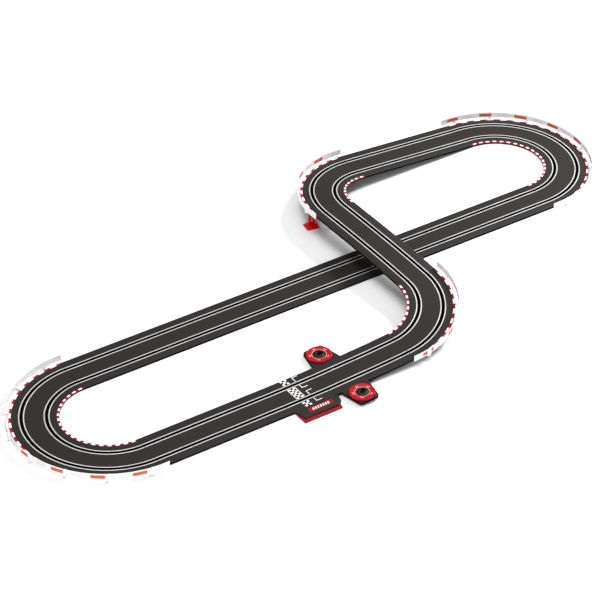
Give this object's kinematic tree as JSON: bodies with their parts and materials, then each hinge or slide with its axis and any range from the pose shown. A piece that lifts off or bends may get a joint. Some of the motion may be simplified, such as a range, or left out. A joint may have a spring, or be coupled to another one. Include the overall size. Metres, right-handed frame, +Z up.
{
  "type": "slot car track set",
  "caption": "Two-lane slot car circuit with a bridge crossing, kerbs, guard rails, terminal box and mechanical lap counters",
  "frame": {"origin": "Middle of the whole set's box, on the table it stands on", "axes": "+X runs along the long straights, from the near curves to the far curves; +Y runs across the circuit, away from the side with the terminal box; +Z is up"},
  "size_m": [1.8434, 0.8696, 0.0734],
  "materials": {
    "track_black": "fine matt moulded plastic, warm black",
    "housing_black": "satin moulded plastic, black",
    "kerb_red_white": "satin plastic with red and white blocks",
    "rail_white": "satin flexible white plastic with printed red panels",
    "signal_red": "semi-gloss red plastic",
    "lever_white": "natural white slippery plastic",
    "pin_steel": "plain bright steel pin"
  },
  "bodies": {
    "circuit": {"front_straight": "track_black", "connection_section": "track_black", "lap_counter_section": "track_black", "short_straight": "track_black", "climbing_curve": "track_black", "bridge_straight": "track_black", "falling_curve": "track_black", "falling_straight": "track_black", "far_curve_1": "track_black", "far_curve_2": "track_black", "back_straight_1": "track_black", "back_straight_2": "track_black", "back_straight_3": "track_black", "back_straight_4": "track_black", "near_curve_1": "track_black", "near_curve_2": "track_black", "climbing_curve_inner_kerb": "kerb_red_white", "climbing_curve_outer_kerb": "kerb_red_white", "falling_curve_inner_kerb": "kerb_red_white", "falling_curve_outer_kerb": "kerb_red_white", "far_curve_1_inner_kerb": "kerb_red_white", "far_curve_1_outer_kerb": "kerb_red_white", "far_curve_2_inner_kerb": "kerb_red_white", "far_curve_2_outer_kerb": "kerb_red_white", "near_curve_1_inner_kerb": "kerb_red_white", "near_curve_1_outer_kerb": "kerb_red_white", "near_curve_2_inner_kerb": "kerb_red_white", "near_curve_2_outer_kerb": "kerb_red_white", "climbing_curve_guard_rail": "rail_white", "falling_curve_guard_rail": "rail_white", "far_curve_1_guard_rail": "rail_white", "far_curve_2_guard_rail": "rail_white", "near_curve_1_guard_rail": "rail_white", "near_curve_2_guard_rail": "rail_white", "bridge_pillar_outer": "signal_red", "bridge_pillar_inner": "signal_red", "climb_pillar": "signal_red", "fall_pillar": "signal_red", "terminal_base": "signal_red", "terminal_cover": "housing_black", "name_plate": "signal_red", "controller_jack_1": "housing_black", "controller_jack_2": "housing_black", "power_jack": "housing_black", "number_ring_near": "signal_red", "number_ring_far": "signal_red", "lever_pin_near": "pin_steel", "lever_pin_far": "pin_steel", "bottom_cover_near": "housing_black", "bottom_cover_far": "housing_black"},
    "lap_pointer_near": {"lap_pointer_near": "housing_black", "ratchet_wheel_near": "lever_white"},
    "lap_pointer_far": {"lap_pointer_far": "housing_black", "ratchet_wheel_far": "lever_white"},
    "trip_lever_near": {"trip_lever_near": "lever_white"},
    "trip_lever_far": {"trip_lever_far": "lever_white"}
  },
  "joints": [
    {"name": "lap_pointer_near_turn", "type": "hinge", "parent": "circuit", "child": "lap_pointer_near", "pos_m": [-0.171, -0.40326, 0.0095], "axis": [-0.0438, 0, 0.999], "continuous": true},
    {"name": "lap_pointer_far_turn", "type": "hinge", "parent": "circuit", "child": "lap_pointer_far", "pos_m": [-0.171, -0.23026, 0.0095], "axis": [-0.0438, 0, 0.999], "continuous": true},
    {"name": "trip_lever_near_swing", "type": "hinge", "parent": "circuit", "child": "trip_lever_near", "pos_m": [-0.171, -0.36026, 0.0095], "axis": [-0.0438, 0, 0.999], "range_deg": [0, 14], "stiffness_Nm_per_rad": 0.005},
    {"name": "trip_lever_far_swing", "type": "hinge", "parent": "circuit", "child": "trip_lever_far", "pos_m": [-0.171, -0.27326, 0.0095], "axis": [-0.0438, 0, 0.999], "range_deg": [-14, 0], "stiffness_Nm_per_rad": 0.005}
  ]
}
